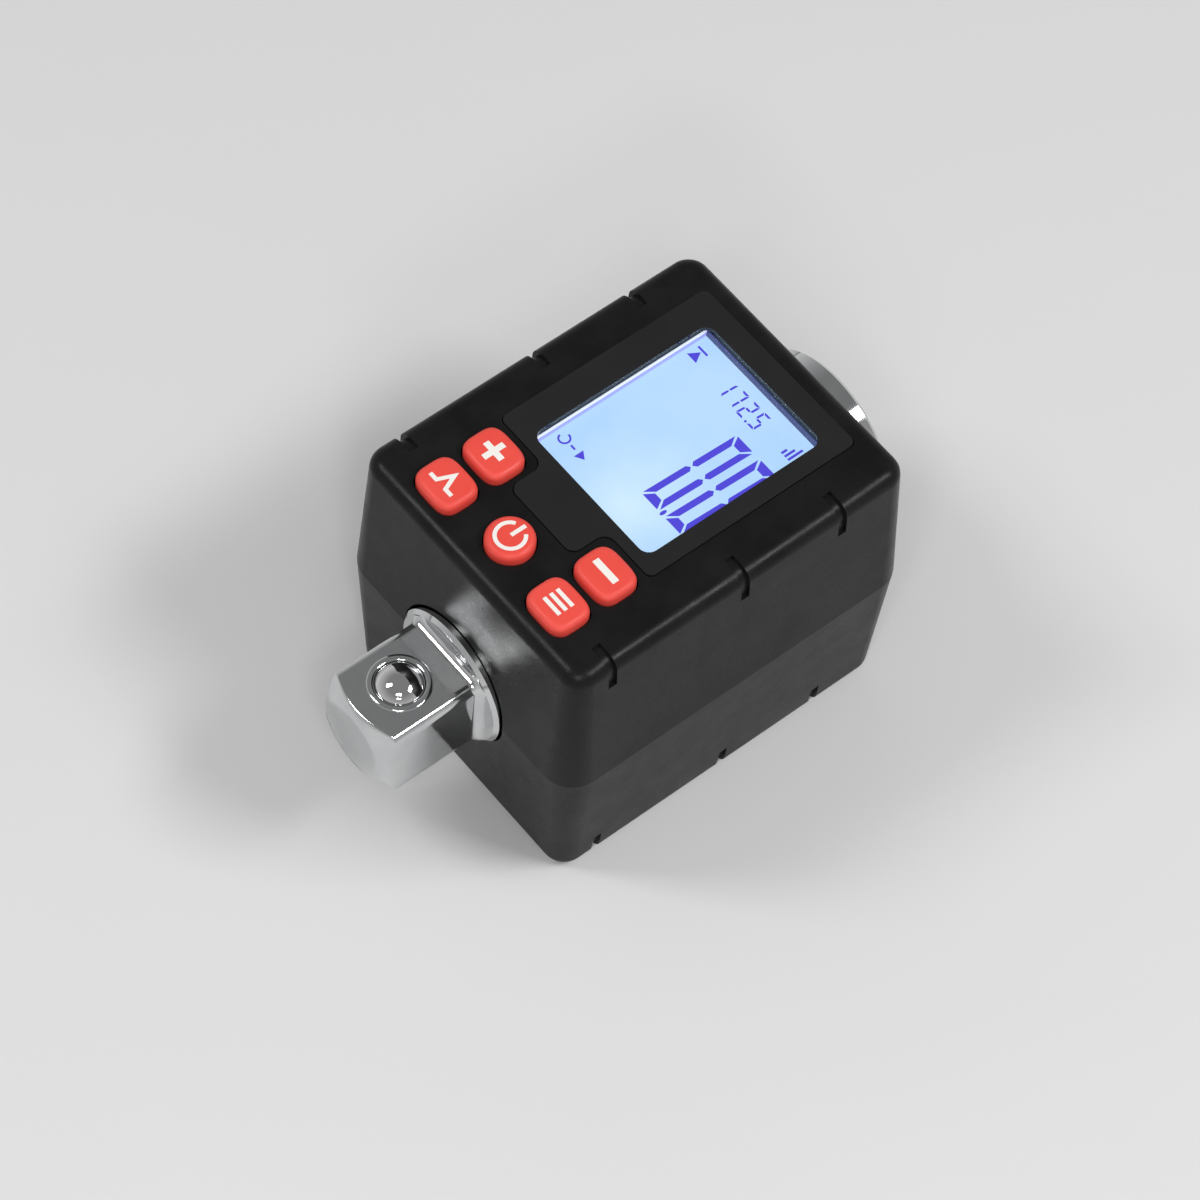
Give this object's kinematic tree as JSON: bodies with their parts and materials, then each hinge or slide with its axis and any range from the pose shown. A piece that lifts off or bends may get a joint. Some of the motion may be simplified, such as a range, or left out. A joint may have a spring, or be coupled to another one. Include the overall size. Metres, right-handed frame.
{
  "type": "digital torque adapter",
  "caption": "In-line torque meter: a square drive shaft with a ball detent and a square socket, clamped in a black case with a lit display and red keys.",
  "frame": {"origin": "middle of the whole length and width, at the height of the base", "axes": "+X along the drive shaft from the male square to the socket, +Z out of the display, +Y to the side of the plus and peak keys"},
  "size_m": [0.077, 0.045, 0.0469],
  "materials": {
    "case_plastic": "satin black moulded plastic with a fine grain",
    "panel_black": "gloss black printed panel",
    "clear_lens": "clear hard-coated window",
    "lcd": "lit pale blue liquid crystal display",
    "frame_plastic": "black moulded frame",
    "light_guide": "milky light guide",
    "zebra_rubber": "layered contact rubber",
    "board_green": "solder-masked laminate",
    "chip_black": "moulded packages",
    "connector_cream": "moulded connector",
    "key_red": "red silicone rubber",
    "mat_red": "red silicone sheet",
    "chrome_steel": "polished chrome plate",
    "ball_steel": "polished steel ball",
    "spring_steel": "spring wire",
    "gauge_film": "amber film with foil gauges",
    "seal_rubber": "black rubber",
    "screw_zinc": "zinc-plated steel",
    "screw_black": "blackened steel",
    "cell_jacket": "printed steel jacket",
    "contact_nickel": "nickel-plated spring steel",
    "wire_red": "insulated wire"
  },
  "bodies": {
    "case": {"upper_housing": "case_plastic", "lower_housing": "case_plastic", "face_plate": "panel_black", "display_lens": "clear_lens", "lcd_glass": "lcd", "lcd_frame": "frame_plastic", "backlight": "light_guide", "zebra_strip": "zebra_rubber", "circuit_board": "board_green", "chips": "chip_black", "buzzer": "chip_black", "flex_connector": "connector_cream", "web_plus": "mat_red", "web_minus": "mat_red", "web_power": "mat_red", "web_mode": "mat_red", "web_peak": "mat_red", "keypad_mat": "mat_red", "drive_shaft": "chrome_steel", "detent_spring": "spring_steel", "strain_gauges": "gauge_film", "gauge_flex": "gauge_film", "front_seal": "seal_rubber", "rear_seal": "seal_rubber", "board_screws": "screw_zinc", "housing_screws": "screw_black", "battery_door": "case_plastic", "door_screw": "screw_black", "battery_cells": "cell_jacket", "contact_plates": "contact_nickel", "battery_springs": "spring_steel", "battery_wires": "wire_red"},
    "plus_key": {"key_plus": "key_red"},
    "minus_key": {"key_minus": "key_red"},
    "power_key": {"key_power": "key_red"},
    "mode_key": {"key_mode": "key_red"},
    "peak_key": {"key_peak": "key_red"},
    "ball": {"detent_ball": "ball_steel"}
  },
  "joints": [
    {"name": "plus_press", "type": "slide", "parent": "case", "child": "plus_key", "axis": [0, 0, -1], "range_m": [0, 0.0008], "stiffness_N_per_m": 2000, "springref_m": -0.0004, "deforming": ["web_plus"]},
    {"name": "minus_press", "type": "slide", "parent": "case", "child": "minus_key", "axis": [0, 0, -1], "range_m": [0, 0.0008], "stiffness_N_per_m": 2000, "springref_m": -0.0004, "deforming": ["web_minus"]},
    {"name": "power_press", "type": "slide", "parent": "case", "child": "power_key", "axis": [0, 0, -1], "range_m": [0, 0.0008], "stiffness_N_per_m": 2000, "springref_m": -0.0004, "deforming": ["web_power"]},
    {"name": "mode_press", "type": "slide", "parent": "case", "child": "mode_key", "axis": [0, 0, -1], "range_m": [0, 0.0008], "stiffness_N_per_m": 2000, "springref_m": -0.0004, "deforming": ["web_mode"]},
    {"name": "peak_press", "type": "slide", "parent": "case", "child": "peak_key", "axis": [0, 0, -1], "range_m": [0, 0.0008], "stiffness_N_per_m": 2000, "springref_m": -0.0004, "deforming": ["web_peak"]},
    {"name": "detent_ball_press", "type": "slide", "parent": "case", "child": "ball", "axis": [0, 0, -1], "range_m": [0, 0.0009], "stiffness_N_per_m": 4000, "springref_m": -0.0005, "deforming": ["detent_spring"]}
  ]
}
